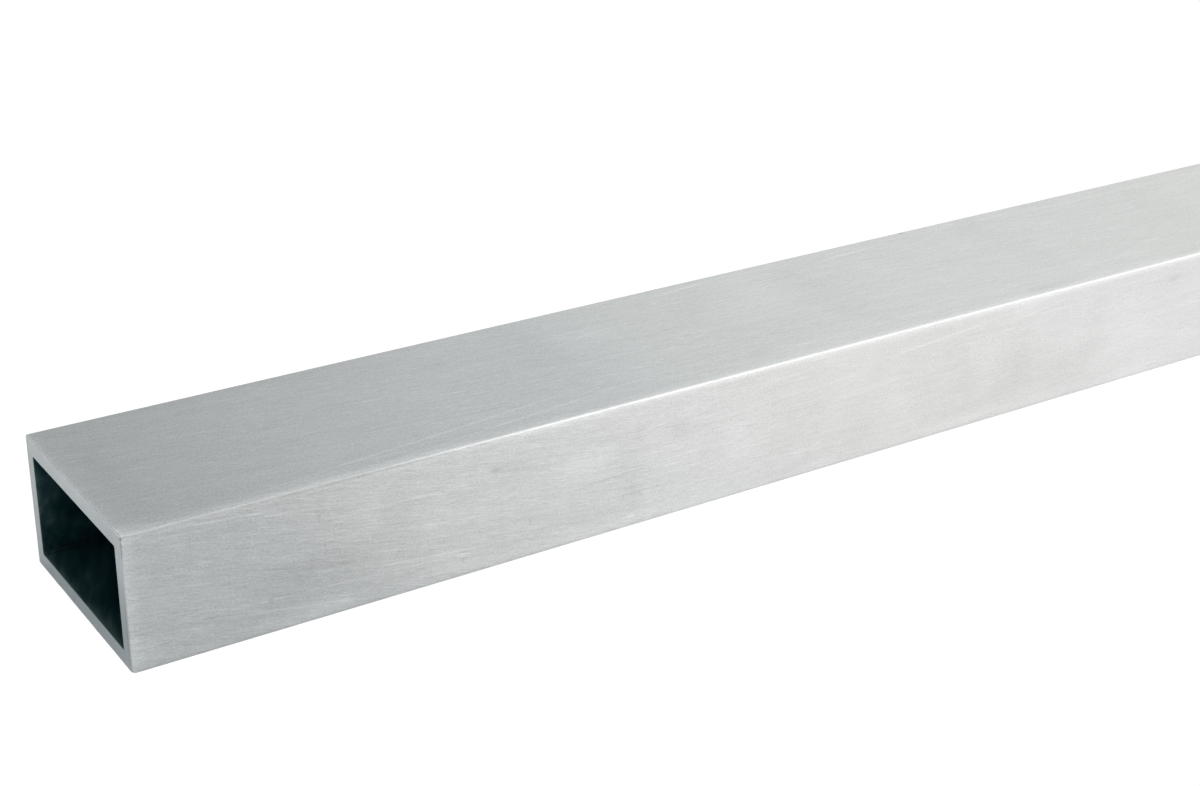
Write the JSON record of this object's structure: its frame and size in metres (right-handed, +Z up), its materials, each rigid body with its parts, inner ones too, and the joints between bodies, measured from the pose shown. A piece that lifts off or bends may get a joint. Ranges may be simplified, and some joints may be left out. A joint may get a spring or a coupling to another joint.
{
  "type": "rectangular aluminium tube",
  "caption": "Straight length of rectangular aluminium tube with crisp corners and square-sawn open ends, for framing, rails and brackets.",
  "frame": {"origin": "middle of the lower wide face, midway along the tube and across it", "axes": "+X along the tube, +Y across its wide faces, +Z up from the lower wide face to the upper one"},
  "size_m": [0.6096, 0.0444, 0.0254],
  "materials": {
    "aluminium": "brushed mill finish, satin, with light handling scratches"
  },
  "bodies": {
    "root": {"rectangular_tube": "aluminium"}
  },
  "joints": []
}
